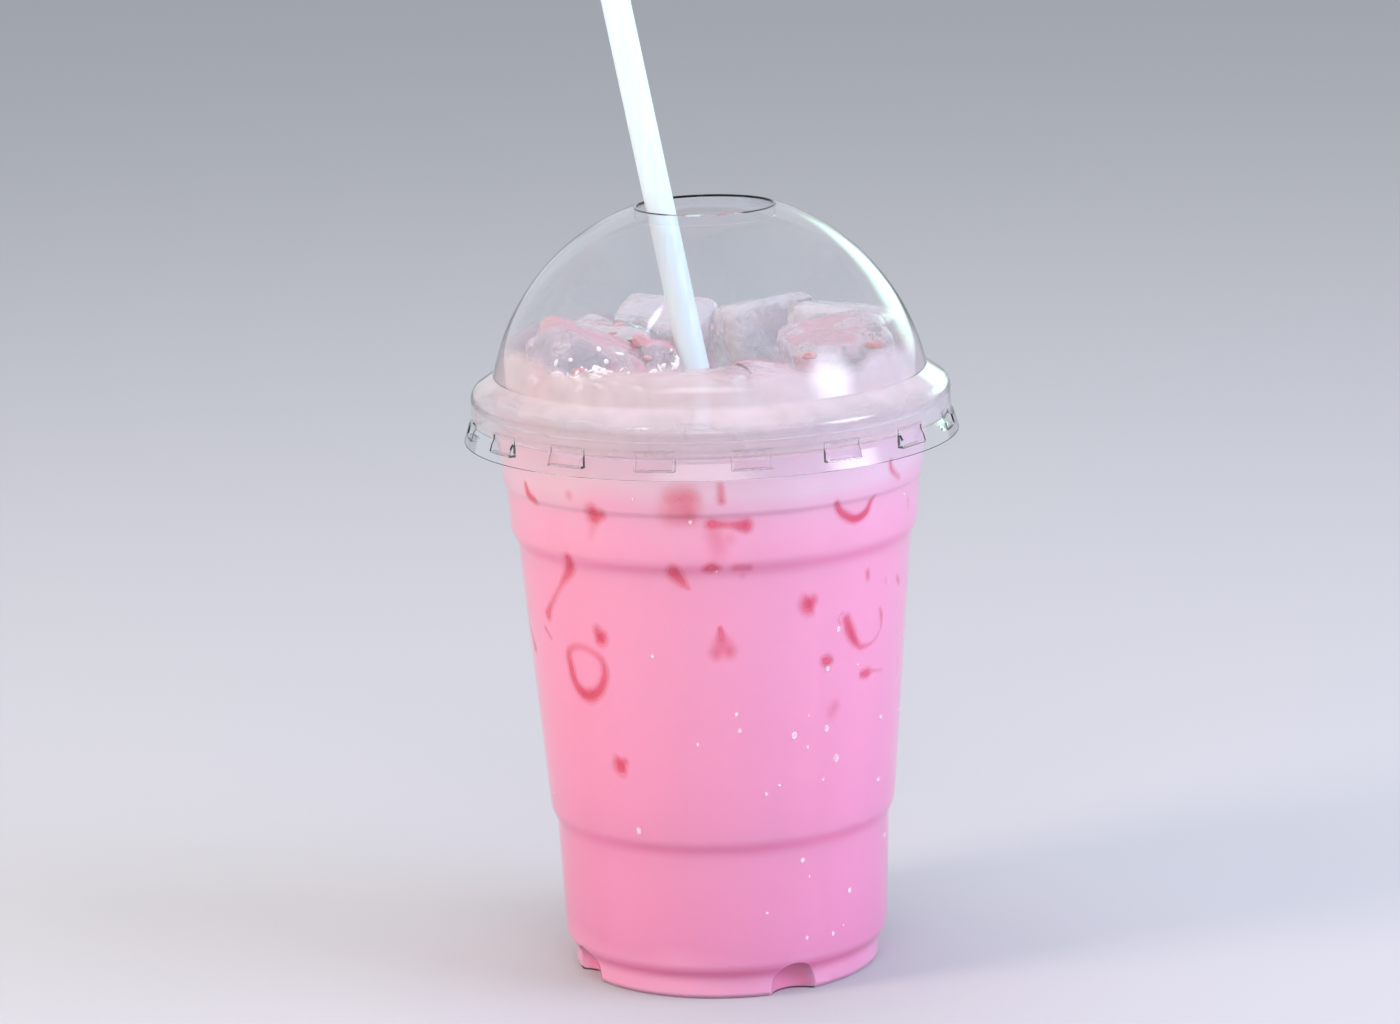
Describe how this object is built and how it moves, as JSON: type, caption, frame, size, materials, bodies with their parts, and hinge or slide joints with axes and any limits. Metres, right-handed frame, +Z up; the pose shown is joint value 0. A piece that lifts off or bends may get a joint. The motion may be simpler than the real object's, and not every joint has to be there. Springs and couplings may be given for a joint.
{
  "type": "iced strawberry latte in a lidded cup",
  "caption": "Iced strawberry milk in a clear stepped plastic cup under a clear dome lid, with a straw through its hole and lumps of ice heaped over the drink.",
  "frame": {"origin": "on the cup's axis, on the surface it stands on", "axes": "+Z up along the cup's axis, -Y the shown front, +X to its right; the straw leans to the back left"},
  "size_m": [0.1025, 0.1026, 0.2095],
  "materials": {
    "cup_plastic": "clear thermoformed PET, smooth and glossy",
    "lid_plastic": "clear thermoformed PET, smooth and glossy, fogged low down",
    "straw_plastic": "extruded polypropylene, whitish with a blue cast, satin",
    "milk": "strawberry milk, opaque, smooth and wet",
    "ice": "wet clear ice with rounded edges"
  },
  "bodies": {
    "root": {"cup": "cup_plastic", "lid": "lid_plastic", "straw": "straw_plastic", "drink": "milk", "ice_left": "ice", "ice_right": "ice", "ice_far_right": "ice", "ice_front_left": "ice", "ice_front": "ice", "ice_front_right": "ice", "ice_side": "ice", "ice_back_left": "ice", "ice_back_right": "ice", "ice_middle": "ice"}
  },
  "joints": []
}
